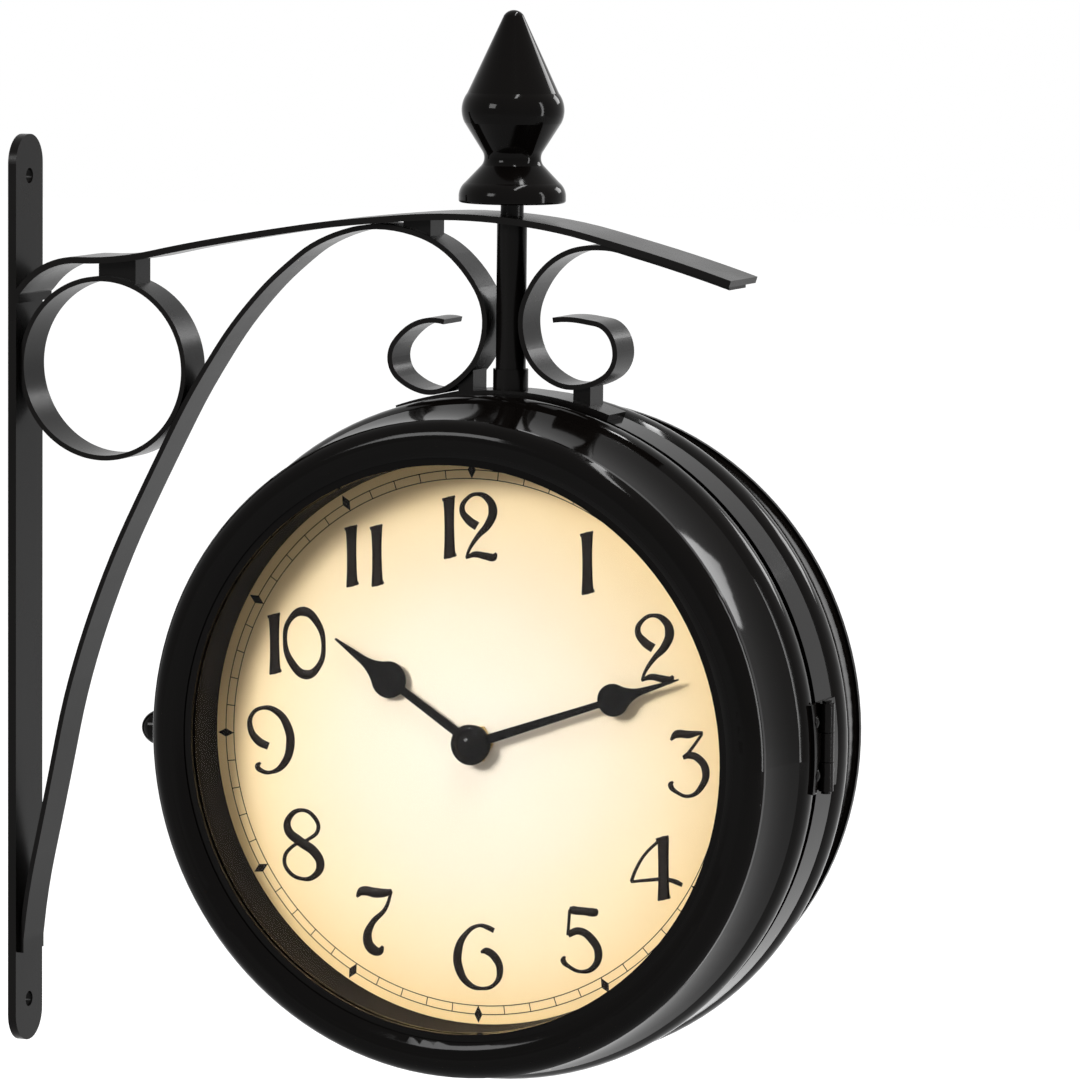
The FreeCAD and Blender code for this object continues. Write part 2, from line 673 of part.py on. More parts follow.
ridge_r = (SIGHT_R + BEZEL_R) / 2
ridge_d = FACE_D + BEZEL_LIP
sight_d = ridge_d - SIGHT_LIP_DROP
lip_r = SIGHT_R + SIGHT_LIP_W
side_d = FACE_D + BEZEL_SIDE
bezel_wire = Part.Wire([
    line(rd(BEZEL_R, FACE_D), rd(BEZEL_R, side_d)),
    arc(rd(BEZEL_R, side_d), rd(BEZEL_R - 2.1, (side_d + ridge_d) / 2 + 0.7), rd(ridge_r, ridge_d)),
    arc(rd(ridge_r, ridge_d), rd(lip_r + 2.4, ridge_d - 0.4), rd(lip_r, ridge_d - 1.5)),
    line(rd(lip_r, ridge_d - 1.5), rd(lip_r, sight_d)),
    line(rd(lip_r, sight_d), rd(SIGHT_R, sight_d)),
    line(rd(SIGHT_R, sight_d), rd(SIGHT_R, FACE_D + LENS_T)),
    line(rd(SIGHT_R, FACE_D + LENS_T), rd(LENS_R + LENS_PLAY, FACE_D + LENS_T)),
    line(rd(LENS_R + LENS_PLAY, FACE_D + LENS_T), rd(LENS_R + LENS_PLAY, FACE_D)),
    line(rd(LENS_R + LENS_PLAY, FACE_D), rd(BEZEL_R, FACE_D)),
])
bezel = one(turned(Part.Face(bezel_wire)))
lens = rod(LENS_R, FACE_D, FACE_D + LENS_T)

UNDER_FACE_D = FACE_D - SHEET
dial_ring_wire = Part.makePolygon([
    rd(SIGHT_R, UNDER_FACE_D), rd(SIGHT_R, DIAL_D), rd(RING_FOOT_R, DIAL_D),
    rd(RING_FOOT_R, DIAL_D + SHEET), rd(SIGHT_R + SHEET, DIAL_D + SHEET),
    rd(SIGHT_R + SHEET, UNDER_FACE_D - SHEET), rd(RING_FLANGE_R, UNDER_FACE_D - SHEET),
    rd(RING_FLANGE_R, UNDER_FACE_D), rd(SIGHT_R, UNDER_FACE_D)])
dial_ring = one(turned(Part.Face(dial_ring_wire)))
dial = tube(DIAL_R, DIAL_HOLE_R, DIAL_D - DIAL_T, DIAL_D)

for side_name, place in (("front", lambda s: s), ("rear", rear)):
    save(side_name + "_bezel", hang(place(bezel)))
    save(side_name + "_lens", hang(place(lens)))
    save(side_name + "_dial_ring", hang(place(dial_ring)))
    save(side_name + "_dial", hang(place(dial)))

# ================================================================ hinge
KNUCKLE_H = (HINGE_H - 2 * KNUCKLE_GAP) / 3
HINGE_LOW_Z = HINGE_Z - HINGE_H / 2
HINGE_HIGH_Z = HINGE_Z + HINGE_H / 2
MID_LOW_Z = HINGE_LOW_Z + KNUCKLE_H + KNUCKLE_GAP
MID_HIGH_Z = MID_LOW_Z + KNUCKLE_H
HINGE_Y = -HINGE_D
low_knuckle = post(KNUCKLE_R, HINGE_LOW_Z, HINGE_LOW_Z + KNUCKLE_H, HINGE_X, HINGE_Y)
mid_knuckle = post(KNUCKLE_R, MID_LOW_Z, MID_HIGH_Z, HINGE_X, HINGE_Y)
high_knuckle = post(KNUCKLE_R, MID_HIGH_Z + KNUCKLE_GAP, HINGE_HIGH_Z, HINGE_X, HINGE_Y)
WEB_X = HINGE_X - WEB_REACH

fixed_leaf = tube(BAND_R + LEAF_T, BAND_R, -BAND_HALF, LEAF_FIXED_D)
fixed_leaf = fixed_leaf.common(box(0, FAR, -FAR, FAR, HINGE_LOW_Z, HINGE_HIGH_Z))
notch_edge = -LEAF_FIXED_D + LEAF_NOTCH
fixed_leaf = fixed_leaf.cut(box(0, FAR, -FAR, notch_edge,
                                MID_LOW_Z - KNUCKLE_GAP, MID_HIGH_Z + KNUCKLE_GAP))
web_span = box(BAND_R - 3 * SHEET, WEB_X, -HINGE_D + LEAF_NOTCH, -LEAF_FIXED_D + LEAF_NOTCH,
               HINGE_LOW_Z, HINGE_HIGH_Z)
web_span = web_span.cut(box(0, FAR, -FAR, FAR, MID_LOW_Z - KNUCKLE_GAP, MID_HIGH_Z + KNUCKLE_GAP))
fixed_leaf = fixed_leaf.fuse([web_span, low_knuckle, high_knuckle])
fixed_leaf = fixed_leaf.cut(rod(BAND_R, -2 * BAND_HALF, 2 * BAND_HALF))
fixed_leaf = fixed_leaf.cut(post(PIN_R, -2 * HINGE_H, 2 * HINGE_H, HINGE_X, HINGE_Y))

# The moving leaf follows the flank of the front half.
flank_edge = half_path(FRONT_RIM_D).Edges[1]
flank_middle = flank_edge.Curve.Center
flank_r = flank_edge.Curve.Radius


def on_flank(forward, lift):
    """A point of the flank at a distance from the mid plane, lifted off it."""
    rise = -forward - flank_middle.y
    normal = V(math.sqrt(flank_r ** 2 - rise ** 2), rise, 0) * (1 / flank_r)
    return flank_middle + normal * (flank_r + lift), normal


def leaf_arc(lift):
    ends = [on_flank(d, lift)[0] for d in (LEAF_MOVING_D, (LEAF_MOVING_D + LEAF_MOVING_END_D) / 2,
                                           LEAF_MOVING_END_D)]
    return arc(*ends), ends[0], ends[2]


under, under_low, under_high = leaf_arc(0)
over, over_low, over_high = leaf_arc(LEAF_T)
leaf_face = Part.Face(Part.Wire([under, line(under_high, over_high), over, line(over_low, under_low)]))
LEAF_ANGLE = 2 * math.degrees(math.asin(HINGE_H / 2 / BAND_R))
moving_leaf = leaf_face.revolve(ZERO, BACK, LEAF_ANGLE)
moving_leaf = turn_about(moving_leaf, -LEAF_ANGLE / 2 - math.degrees(HINGE_Z / BAND_R), BACK)
moving_web = box(RIM_R - 3 * SHEET, WEB_X, -LEAF_MOVING_D - LEAF_T, -FRONT_RIM_D, MID_LOW_Z,
                 MID_HIGH_Z)
moving_leaf = moving_leaf.fuse([moving_web, mid_knuckle])
moving_leaf = moving_leaf.cut(front_filled)
moving_leaf = moving_leaf.cut(post(PIN_R + PIN_PLAY, -2 * HINGE_H, 2 * HINGE_H, HINGE_X, HINGE_Y))

hinge_pin = post(PIN_R, HINGE_LOW_Z, HINGE_HIGH_Z, HINGE_X, HINGE_Y)
for head_z in (HINGE_LOW_Z - PIN_HEAD_H, HINGE_HIGH_Z):
    hinge_pin = hinge_pin.fuse(post(PIN_HEAD_R, head_z, head_z + PIN_HEAD_H, HINGE_X, HINGE_Y))
save("hinge_pin", hang(one(hinge_pin)))


def rivet(foot, along, inner, outer):
    """A rivet through foot: shank from inner to outer along a direction, head outside."""
    inner = inner - RIVET_SET
    shank = Part.makeCylinder(RIVET_R, outer - inner, foot + along * inner, along)
    tail = Part.makeCylinder(RIVET_TAIL_R, RIVET_TAIL_H, foot + along * (inner - RIVET_TAIL_H), along)
    dome_r = (RIVET_HEAD_R ** 2 + RIVET_HEAD_H ** 2) / (2 * RIVET_HEAD_H)
    ball = Part.makeSphere(dome_r, foot + along * (outer + RIVET_HEAD_H - dome_r))
    head = Part.makeCylinder(RIVET_HEAD_R, RIVET_HEAD_H, foot + along * outer, along)
    return one(shank.fuse([tail, head.common(ball)])), shank


def spun(shape, z_offset, radius):
    """Turn a piece made at z = 0 round the dial axis up to a height."""
    return turn_about(shape, -math.degrees(math.asin((HINGE_Z + z_offset) / radius)), BACK)


flank_foot, flank_normal = on_flank(RIVET_MOVING_D, 0)
fixed_rivets = []
moving_rivets = []
for offset in (-RIVET_HALF_SPACING, RIVET_HALF_SPACING):
    made, shank = rivet(V(BAND_R, -RIVET_FIXED_D, 0), OUT, RIM_R - SHEET - BAND_R, LEAF_T)
    shank = spun(shank, offset, BAND_R)
    fixed_rivets.append(spun(made, offset, BAND_R))
    fixed_leaf = fixed_leaf.cut(shank)
    centre_band = centre_band.cut(shank)
    rear_shell = rear_shell.cut(shank)
    made, shank = rivet(flank_foot, flank_normal, -SHEET, LEAF_T)
    shank = spun(shank, offset, BAND_R)
    moving_rivets.append(spun(made, offset, BAND_R))
    moving_leaf = moving_leaf.cut(shank)
    front_shell = front_shell.cut(shank)
save("hinge_fixed_leaf", hang(one(fixed_leaf)))
save("hinge_moving_leaf", hang(one(moving_leaf)))
save("fixed_leaf_rivets", hang(group(fixed_rivets)))
save("moving_leaf_rivets", hang(group(moving_rivets)))

# ================================================================ latch
latch_bush = bar_x(BUSH_R, BUSH_OUT_X, BUSH_IN_X, LATCH_D, LATCH_Z)
front_shell = front_shell.cut(bar_x(BUSH_R, KNOB_TIP_X, HOOK_X, LATCH_D, LATCH_Z))
latch_bush = latch_bush.cut(bar_x(SPINDLE_R + SPINDLE_PLAY, KNOB_TIP_X, HOOK_X, LATCH_D, LATCH_Z))
save("latch_bush", hang(one(latch_bush)))

knob_edges = [
    line(V(KNOB_BASE_X, 0, 0), V(KNOB_BASE_X, 0, 4.6)),
    arc(V(KNOB_BASE_X, 0, 4.6), V(KNOB_BASE_X - 0.45, 0, 5.5), V(KNOB_BASE_X - 1.3, 0, KNOB_R)),
    line(V(KNOB_BASE_X - 1.3, 0, KNOB_R), V(KNOB_TIP_X + 4.6, 0, KNOB_R - 0.1)),
    arc(V(KNOB_TIP_X + 4.6, 0, KNOB_R - 0.1), V(KNOB_TIP_X + 2.0, 0, 4.1), V(KNOB_TIP_X + 0.2, 0, 0.8)),
    line(V(KNOB_TIP_X + 0.2, 0, 0.8), V(KNOB_TIP_X, 0, 0)),
    line(V(KNOB_TIP_X, 0, 0), V(KNOB_BASE_X, 0, 0)),
]
knob = Part.Face(Part.Wire(knob_edges)).revolve(ZERO, OUT, 360)
knob.translate(V(0, -LATCH_D, LATCH_Z))
knob = knob.fuse(bar_x(SPINDLE_R, KNOB_BASE_X - 1, HOOK_X + HOOK_T + 0.5, LATCH_D, LATCH_Z))
save("latch_knob", hang(one(knob)))

# The hook, drawn latched about X = 0 and then turned to its released place.
REACH = LATCH_D - STUD_D
hook_inner = REACH + STUD_R + HOOK_CLEAR
hook_outer = hook_inner + HOOK_BAND


def around_x(radius, degrees):
    """A point at an angle from +Y towards +Z."""
    a = math.radians(degrees)
    return V(HOOK_X, radius * math.cos(a), radius * math.sin(a))


def sector(r_in, r_out, low, high):
    middle = (low + high) / 2
    wire = Part.Wire([
        arc(around_x(r_out, low), around_x(r_out, middle), around_x(r_out, high)),
        line(around_x(r_out, high), around_x(r_in, high)),
        arc(around_x(r_in, high), around_x(r_in, middle), around_x(r_in, low)),
        line(around_x(r_in, low), around_x(r_out, low)),
    ])
    return Part.Face(wire).extrude(V(HOOK_T, 0, 0))


hook = Part.makeCylinder(HOOK_BOSS_R, HOOK_T, V(HOOK_X, 0, 0), OUT)
hook = hook.fuse([sector(hook_inner, hook_outer, HOOK_TAIL, HOOK_END),
                  sector(SPINDLE_R + 0.5, hook_inner + 0.5, HOOK_SPOKE, HOOK_END)])
hook = hook.cut(bar_x(SPINDLE_R, KNOB_TIP_X, 0))
hook = turn_about(hook, -LATCH_TURN, OUT)
hook.translate(V(0, -LATCH_D, LATCH_Z))
save("latch_hook", hang(one(hook)))

keeper = bar_x(STUD_R, -BAND_R, STUD_END_X, STUD_D, LATCH_Z)
keeper = one(keeper.common(rod(RIM_R - SHEET, -2 * BAND_HALF, 2 * BAND_HALF)))
save("latch_keeper", hang(keeper))

centre_band = one(centre_band.cut(rod_hole))
rear_shell = one(rear_shell.cut(rod_hole))
save("centre_band", hang(centre_band))
save("rear_shell", hang(rear_shell))
save("front_shell", hang(one(front_shell)))

# ================================================================ movement
rubber_washer = tube(WASHER_R, THREAD_R, WASHER_D, WASHER_D + WASHER_T)
bush_nut = hexagon(NUT_FLATS, DIAL_D, DIAL_D + NUT_T, THREAD_R)

housing = rounded_square(MOVE_SIZE, MOVE_CORNER, MOVE_BACK_D, WASHER_D)
housing = housing.cut(rounded_square(2 * HALF_IN, MOVE_CORNER - MOVE_WALL,
                                     MOVE_BACK_D - 1, FRONT_WALL_D))
housing = housing.fuse(box(-HALF_IN - 0.5, HALF_IN + 0.5, -FRONT_WALL_D - 0.5, -MOVE_BACK_D,
                           BAY_TOP_Z - MOVE_WALL, BAY_TOP_Z))
housing = housing.fuse(rod(THREAD_R, FRONT_WALL_D, THREAD_END_D))
housing = housing.cut(rod(PIPE_R + PIPE_PLAY, MOVE_BACK_D, THREAD_END_D + 1))
stud_low_d = LOW_GEAR_D - GEAR_T / 2
housing = housing.fuse(rod(STUD_PIN_R, stud_low_d, FRONT_WALL_D + 0.5, CENTRES, 0))
housing = one(housing)

cover = rounded_square(MOVE_SIZE, MOVE_CORNER, MOVE_BACK_D - COVER_T, MOVE_BACK_D)
cover = cover.cut(box(-MOVE_SIZE, MOVE_SIZE, -FAR, 0, -MOVE_SIZE, BAY_TOP_Z - MOVE_WALL))
cover = cover.cut(rod(PIVOT_R + RUN_PLAY, 0, LOW_GEAR_D))
cover = one(cover.cut(rod(ARBOR_R + RUN_PLAY, 0, LOW_GEAR_D, CENTRES, CENTRES)))

# Wheels: teeth point where their partner has a gap.
PIVOT_END_D = MOVE_BACK_D - COVER_T + 0.2
arbor = rod(PIVOT_R, PIVOT_END_D, MOVE_BACK_D + 0.6)
arbor = arbor.fuse(rod(ARBOR_R, MOVE_BACK_D + 0.3, ARBOR_END_D))
arbor = one(arbor.fuse(gear(PINION_TEETH, MODULE, LOW_GEAR_D, GEAR_T)))

motion = gear(MOTION_TEETH, MODULE, LOW_GEAR_D, GEAR_T, 180.0 / MOTION_TEETH)
motion = motion.fuse(gear(MOTION_PINION_TEETH, MODULE_HOUR, LOW_GEAR_D + GEAR_T,
                          HIGH_GEAR_D + GEAR_T - LOW_GEAR_D - GEAR_T + 0.3))
motion = motion.cut(rod(STUD_PIN_R + STUD_PIN_PLAY, 0, FAR))
motion = shift(one(motion), CENTRES, 0)

hour = gear(HOUR_TEETH, MODULE_HOUR, HIGH_GEAR_D, GEAR_T)
hour = hour.fuse(rod(PIPE_R, HIGH_GEAR_D, PIPE_END_D))
hour = one(hour.cut(rod(ARBOR_R + RUN_PLAY, 0, FAR)))

set_knob = rod(SET_KNOB_R, SET_KNOB_D, SET_KNOB_D + SET_KNOB_T)
for i in range(12):
    a = math.radians(30 * i + 15)
    set_knob = set_knob.cut(rod(0.7, 0, MOVE_BACK_D, SET_KNOB_R * math.sin(a), SET_KNOB_R * math.cos(a)))
set_knob = set_knob.fuse(rod(ARBOR_R, SET_KNOB_D + 1, LOW_GEAR_D + GEAR_T))
set_knob = set_knob.fuse(gear(PINION_TEETH, MODULE, LOW_GEAR_D, GEAR_T))
set_knob = shift(one(set_knob), CENTRES, CENTRES)

# Drive board with its coil, against two walls of the housing.
BOARD_LOW_Z = 11.5
BOARD_T = 1.6
BOARD_HIGH_X = 5.0
COIL_R = 4.2
COIL_Z = 19.0
COIL_IN = 6.2
BOBBIN_X = (-22.0, 0.5)
BOBBIN_T = 1.5
BOBBIN_HALF = 5.0
coil_d = MOVE_BACK_D + COIL_IN
board = box(-HALF_IN, BOARD_HIGH_X, -BOARD_D - BOARD_T, -BOARD_D, BOARD_LOW_Z, HALF_IN)
board = board.common(rounded_square(2 * HALF_IN, MOVE_CORNER - MOVE_WALL, 0, FACE_D))
for x_low in BOBBIN_X:
    board = board.fuse(box(x_low, x_low + BOBBIN_T, -BOARD_D, -coil_d + BOBBIN_HALF,
                           COIL_Z - BOBBIN_HALF, COIL_Z + BOBBIN_HALF))
board = one(board.fuse(bar_x(COIL_R, BOBBIN_X[0] + BOBBIN_T / 2, BOBBIN_X[1] + BOBBIN_T / 2,
                             coil_d, COIL_Z)))

# The cell lies in the bay between its two contacts.
cell_x = -HALF_IN + CONTACT_T + CELL_CAP_H
cell = bar_x(CELL_R, cell_x, cell_x + CELL_LENGTH, CELL_D, CELL_Z)
rims = [e for e in cell.Edges if e.Closed and abs(e.BoundBox.XLength) < 0.01]
cell = cell.makeFillet(0.8, rims)
cell = one(cell.fuse(bar_x(CELL_CAP_R, cell_x - CELL_CAP_H, cell_x + 0.5, CELL_D, CELL_Z)))
cell_end_x = cell_x + CELL_LENGTH
SPRING_R = 3.2
contact_y = (-CELL_D - CONTACT_HALF + CONTACT_T, -CELL_D + CONTACT_HALF - CONTACT_T)
contact_z = (CELL_Z - CONTACT_HALF, CELL_Z + CONTACT_HALF)
plus_contact = box(-HALF_IN, -HALF_IN + CONTACT_T, *contact_y, *contact_z)
minus_contact = box(HALF_IN - CONTACT_T, HALF_IN, *contact_y, *contact_z)
minus_contact = one(minus_contact.fuse(bar_x(SPRING_R, cell_end_x, HALF_IN - CONTACT_T / 2,
                                             CELL_D, CELL_Z)))
contacts = group([plus_contact, minus_contact])


# ================================================================ hands
def hand_outline(length, bulb_at, bulb_r, shaft_in, shaft_out):
    """Half widths of a hand drawn up the Z axis: shaft, round bulb, long point."""
    meet = bulb_at - math.sqrt(bulb_r ** 2 - shaft_out ** 2)
    a = math.radians(48)
    shoulder = (bulb_r * math.cos(a), bulb_at + bulb_r * math.sin(a))
    side_a = math.radians(-20)
    side = (bulb_r * math.cos(side_a), bulb_at + bulb_r * math.sin(side_a))
    neck = (shaft_out * 1.05, bulb_at + bulb_r * 1.95)
    mid = (shoulder[0] * 0.42 + neck[0] * 0.42, shoulder[1] * 0.55 + neck[1] * 0.45)
    edges = []
    for sign in (1, -1):
        def p(w, r, sign=sign):
            return V(sign * w, 0, r)
        edges.append(line(p(shaft_in, 0), p(shaft_out, meet)))
        edges.append(arc(p(shaft_out, meet), p(*side), p(*shoulder)))
        edges.append(arc(p(*shoulder), p(*mid), p(*neck)))
        edges.append(line(p(*neck), p(0.3, length)))
    edges.append(line(V(-shaft_in, 0, 0), V(shaft_in, 0, 0)))
    edges.append(line(V(-0.3, 0, length), V(0.3, 0, length)))
    return Part.Face(Part.Wire(Part.sortEdges(edges)[0]))


def hand(outline, back_d, angle):
    """A flat hand with its hub, turned clockwise as seen on its dial."""
    plate_shape = outline.extrude(V(0, -HAND_T, 0))
    plate_shape.translate(V(0, -back_d, 0))
    plate_shape = plate_shape.fuse(rod(HAND_HUB_R, back_d, back_d + HAND_T))
    return turn_about(plate_shape, angle, BACK)


hour_hand = hand(hand_outline(HOUR_HAND, HOUR_BULB_AT, HOUR_BULB_R, 1.65, 1.35),
                 HOUR_HAND_D, HOUR_ANGLE)
hour_hand = hour_hand.fuse(rod(COLLET_R, THREAD_END_D + COLLET_CLEAR, PIPE_END_D))
hour_hand = one(hour_hand.cut(rod(PIPE_R, 0, FAR)))
minute_hand = hand(hand_outline(MINUTE_HAND, MINUTE_BULB_AT, MINUTE_BULB_R, 1.75, 1.15),
                   MINUTE_HAND_D, MINUTE_ANGLE)
minute_hand = minute_hand.fuse(rod(COLLET_R, MINUTE_HAND_D - 0.6, MINUTE_HAND_D + HAND_T))
minute_hand = one(minute_hand.cut(rod(ARBOR_R, 0, FAR)))

CAP_BACK_D = MINUTE_HAND_D + HAND_T
cap_edges = [
    line(rd(0, CAP_BACK_D), rd(CAP_R, CAP_BACK_D)),
    line(rd(CAP_R, CAP_BACK_D), rd(CAP_R, CAP_BACK_D + 0.5)),
    arc(rd(CAP_R, CAP_BACK_D + 0.5), rd(CAP_R - 0.5, CAP_BACK_D + 1.15), rd(CAP_DOME_R, CAP_BACK_D + 1.4)),
    dome(rd, CAP_DOME_R, CAP_BACK_D + 1.4, CAP_END_D),
    line(rd(0, CAP_END_D), rd(0, CAP_BACK_D)),
]
cap = turned(Part.Face(Part.Wire(cap_edges)))
cap = one(cap.cut(rod(ARBOR_R, 0, ARBOR_END_D + RUN_PLAY)))

for side_name, place in (("front_", lambda s: s), ("rear_", rear)):
    save(side_name + "movement_housing", hang(place(housing)))
    save(side_name + "movement_cover", hang(place(cover)))
    save(side_name + "drive_board", hang(place(board)))
    save(side_name + "battery", hang(place(cell)))
    save(side_name + "battery_contacts", hang(place(contacts)))
    save(side_name + "minute_arbor", hang(place(arbor)))
    save(side_name + "hour_wheel", hang(place(hour)))
    save(side_name + "motion_wheel", hang(place(motion)))
    save(side_name + "setting_knob", hang(place(set_knob)))
    save(side_name + "bush_nut", hang(place(bush_nut)))
    save(side_name + "rubber_washer", hang(place(rubber_washer)))
    save(side_name + "hour_hand", hang(place(hour_hand)))
    save(side_name + "minute_hand", hang(place(minute_hand)))
    save(side_name + "hand_nut", hang(place(cap)))
print("written", len(os.listdir("parts")))
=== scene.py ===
# %% [markdown]
# A double sided station clock on a scrolled wall bracket.
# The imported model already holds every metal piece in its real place, so this
# script gives those pieces their paint, makes the printed dials, and sets up
# a plain studio.  Lengths are in metres, and the numbers below that describe
# the clock itself are in millimetres, measured from the middle of its case.

# %% Load the frame
import bpy
import bmesh
import math
from mathutils import Matrix, Vector


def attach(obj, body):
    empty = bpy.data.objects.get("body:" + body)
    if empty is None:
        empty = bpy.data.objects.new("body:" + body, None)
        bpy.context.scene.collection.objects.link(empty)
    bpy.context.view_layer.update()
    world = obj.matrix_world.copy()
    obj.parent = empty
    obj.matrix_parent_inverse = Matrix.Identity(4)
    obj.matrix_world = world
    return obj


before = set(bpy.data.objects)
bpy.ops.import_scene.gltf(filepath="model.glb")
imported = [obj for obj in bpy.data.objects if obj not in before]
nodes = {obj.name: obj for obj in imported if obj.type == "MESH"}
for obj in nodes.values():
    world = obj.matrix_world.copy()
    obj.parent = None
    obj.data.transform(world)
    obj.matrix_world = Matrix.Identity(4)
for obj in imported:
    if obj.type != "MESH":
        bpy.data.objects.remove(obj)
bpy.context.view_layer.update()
print("pieces in the frame:", len(nodes))

# %% [markdown]
# The clock hangs 188.5 mm out from the wall and 40 mm below the middle of its
# wall plate.  One helper turns a place on the clock into a place in the scene.

# %% Places on the clock
MM = 0.001
CASE_OUT = 188.5
CASE_DROP = 40.0


def on_clock(x, y, z):
    """A point measured from the middle of the case, in millimetres."""
    return Vector(((x + CASE_OUT) * MM, y * MM, (z - CASE_DROP) * MM))


DIAL_CENTRE = on_clock(0, 0, 0)

# %% [markdown]
# The camera stands where the photographer stood: about two metres away, to
# the right of the dial and a little above it, with a long lens.  A long lens
# keeps the near edge of the round case from swelling.

# %% Camera
CAMERA_AT = on_clock(830.9, -2013.9, 306.1)
CAMERA_YAW = 22.14
CAMERA_DOWN = 6.3
CAMERA_ROLL = 0.54
LENS = 209.3
camera_data = bpy.data.cameras.new("camera")
camera_data.lens = LENS
camera_data.sensor_width = 36
camera_data.clip_start = 0.1
camera_data.clip_end = 40
camera = bpy.data.objects.new("camera", camera_data)
bpy.context.scene.collection.objects.link(camera)
look = (Matrix.Rotation(math.radians(CAMERA_YAW), 4, "Z")
        @ Matrix.Rotation(math.radians(90 - CAMERA_DOWN), 4, "X")
        @ Matrix.Rotation(math.radians(CAMERA_ROLL), 4, "Z"))
camera.matrix_world = Matrix.Translation(CAMERA_AT) @ look
bpy.context.scene.camera = camera
bpy.context.scene.view_settings.view_transform = "Standard"

# %% [markdown]
# Paint is never perfectly even.  Sprayed enamel has a faint orange peel, and
# its shine varies a little from place to place.  Both come from noise, so they
# go into one node group that every painted or plated finish can use with its
# own numbers.

# %% A group for uneven surfaces


def add_node(tree, kind, **inputs):
    """A node with some of its sockets set by name."""
    node = tree.nodes.new(kind)
    for name, value in inputs.items():
        node.inputs[name.replace("_", " ")].default_value = value
    return node


def make_skin_group():
    group = bpy.data.node_groups.new("uneven skin", "ShaderNodeTree")
    face = group.interface
    for name, default in (("Grain", 900.0), ("Grain Height", 0.15), ("Cloud", 25.0),
                          ("Rough Low", 0.2), ("Rough High", 0.3)):
        socket = face.new_socket(name, in_out="INPUT", socket_type="NodeSocketFloat")
        socket.default_value = default
    face.new_socket("Roughness", in_out="OUTPUT", socket_type="NodeSocketFloat")
    face.new_socket("Cloud", in_out="OUTPUT", socket_type="NodeSocketFloat")
    face.new_socket("Normal", in_out="OUTPUT", socket_type="NodeSocketVector")
    inside = group.nodes.new("NodeGroupInput")
    outside = group.nodes.new("NodeGroupOutput")
    place = group.nodes.new("ShaderNodeTexCoord")
    grain = add_node(group, "ShaderNodeTexNoise", Detail=2.0)
    cloud = add_node(group, "ShaderNodeTexNoise", Detail=4.0)
    spread = group.nodes.new("ShaderNodeMapRange")
    bump = add_node(group, "ShaderNodeBump", Distance=0.00005)
    link = group.links.new
    link(place.outputs["Object"], grain.inputs["Vector"])
    link(place.outputs["Object"], cloud.inputs["Vector"])
    link(inside.outputs["Grain"], grain.inputs["Scale"])
    link(inside.outputs["Cloud"], cloud.inputs["Scale"])
    link(cloud.outputs["Fac"], spread.inputs["Value"])
    spread.inputs["From Min"].default_value = 0.3
    spread.inputs["From Max"].default_value = 0.7
    link(inside.outputs["Rough Low"], spread.inputs["To Min"])
    link(inside.outputs["Rough High"], spread.inputs["To Max"])
    link(grain.outputs["Fac"], bump.inputs["Height"])
    link(inside.outputs["Grain Height"], bump.inputs["Strength"])
    link(spread.outputs["Result"], outside.inputs["Roughness"])
    link(cloud.outputs["Fac"], outside.inputs["Cloud"])
    link(bump.outputs["Normal"], outside.inputs["Normal"])
    return group


SKIN = make_skin_group()
print("skin group inputs:", [s.name for s in SKIN.interface.items_tree if s.in_out == "INPUT"])

# %% [markdown]
# Each finish is a Principled shader fed by that group.  The base colour moves
# a little between two close tones, so that no finish is one flat colour.

# %% Finishes from the group


def new_material(name):
    """A fresh material with its node tree and its Principled shader."""
    material = bpy.data.materials.new(name)
    material.use_nodes = True
    return material, material.node_tree, material.node_tree.nodes["Principled BSDF"]


def place_skin(tree, grain, height, cloud, rough):
    """The skin group in a material, with that material's own numbers."""
    skin = tree.nodes.new("ShaderNodeGroup")
    skin.node_tree = SKIN
    for socket, value in (("Grain", grain), ("Grain Height", height), ("Cloud", cloud),
                          ("Rough Low", rough[0]), ("Rough High", rough[1])):
        skin.inputs[socket].default_value = value
    return skin


def finish(name, dark, light, grain=900.0, height=0.15, cloud=25.0, rough=(0.2, 0.3),
           metallic=0.0, specular=0.5):
    """A material whose tone, shine and surface vary with noise."""
    material, tree, shader = new_material(name)
    shader.inputs["Metallic"].default_value = metallic
    shader.inputs["Specular IOR Level"].default_value = specular
    skin = place_skin(tree, grain, height, cloud, rough)
    tone = tree.nodes.new("ShaderNodeMix")
    tone.data_type = "RGBA"
    tone.inputs["A"].default_value = (*dark, 1)
    tone.inputs["B"].default_value = (*light, 1)
    tree.links.new(skin.outputs["Cloud"], tone.inputs["Factor"])
    tree.links.new(tone.outputs["Result"], shader.inputs["Base Color"])
    tree.links.new(skin.outputs["Roughness"], shader.inputs["Roughness"])
    tree.links.new(skin.outputs["Normal"], shader.inputs["Normal"])
    return material


enamel = finish("case_enamel", (0.0018, 0.0014, 0.0012), (0.0030, 0.0024, 0.0021), grain=700,
                height=0.04, rough=(0.06, 0.11), specular=0.06)
iron = finish("bracket_paint", (0.0026, 0.0022, 0.0020), (0.0044, 0.0038, 0.0035), grain=1600,
              height=0.2, rough=(0.20, 0.30), specular=0.08)
ring_matt = finish("dial_ring_paint", (0.0050, 0.0035, 0.0025), (0.0080, 0.0058, 0.0042), grain=1600,
                   height=0.2, rough=(0.55, 0.70), specular=0.04)
hand_gloss = finish("hand_gloss", (0.0018, 0.0013, 0.0010), (0.0030, 0.0024, 0.0019), grain=900,
                    height=0.05, rough=(0.14, 0.22), specular=0.10)
zinc = finish("zinc_plate", (0.42, 0.42, 0.41), (0.55, 0.55, 0.53), grain=2500, height=0.3,
              rough=(0.28, 0.42), metallic=1.0)
brass = finish("turned_brass", (0.56, 0.38, 0.13), (0.72, 0.52, 0.22), grain=2500, height=0.3,
               rough=(0.22, 0.35), metallic=1.0)
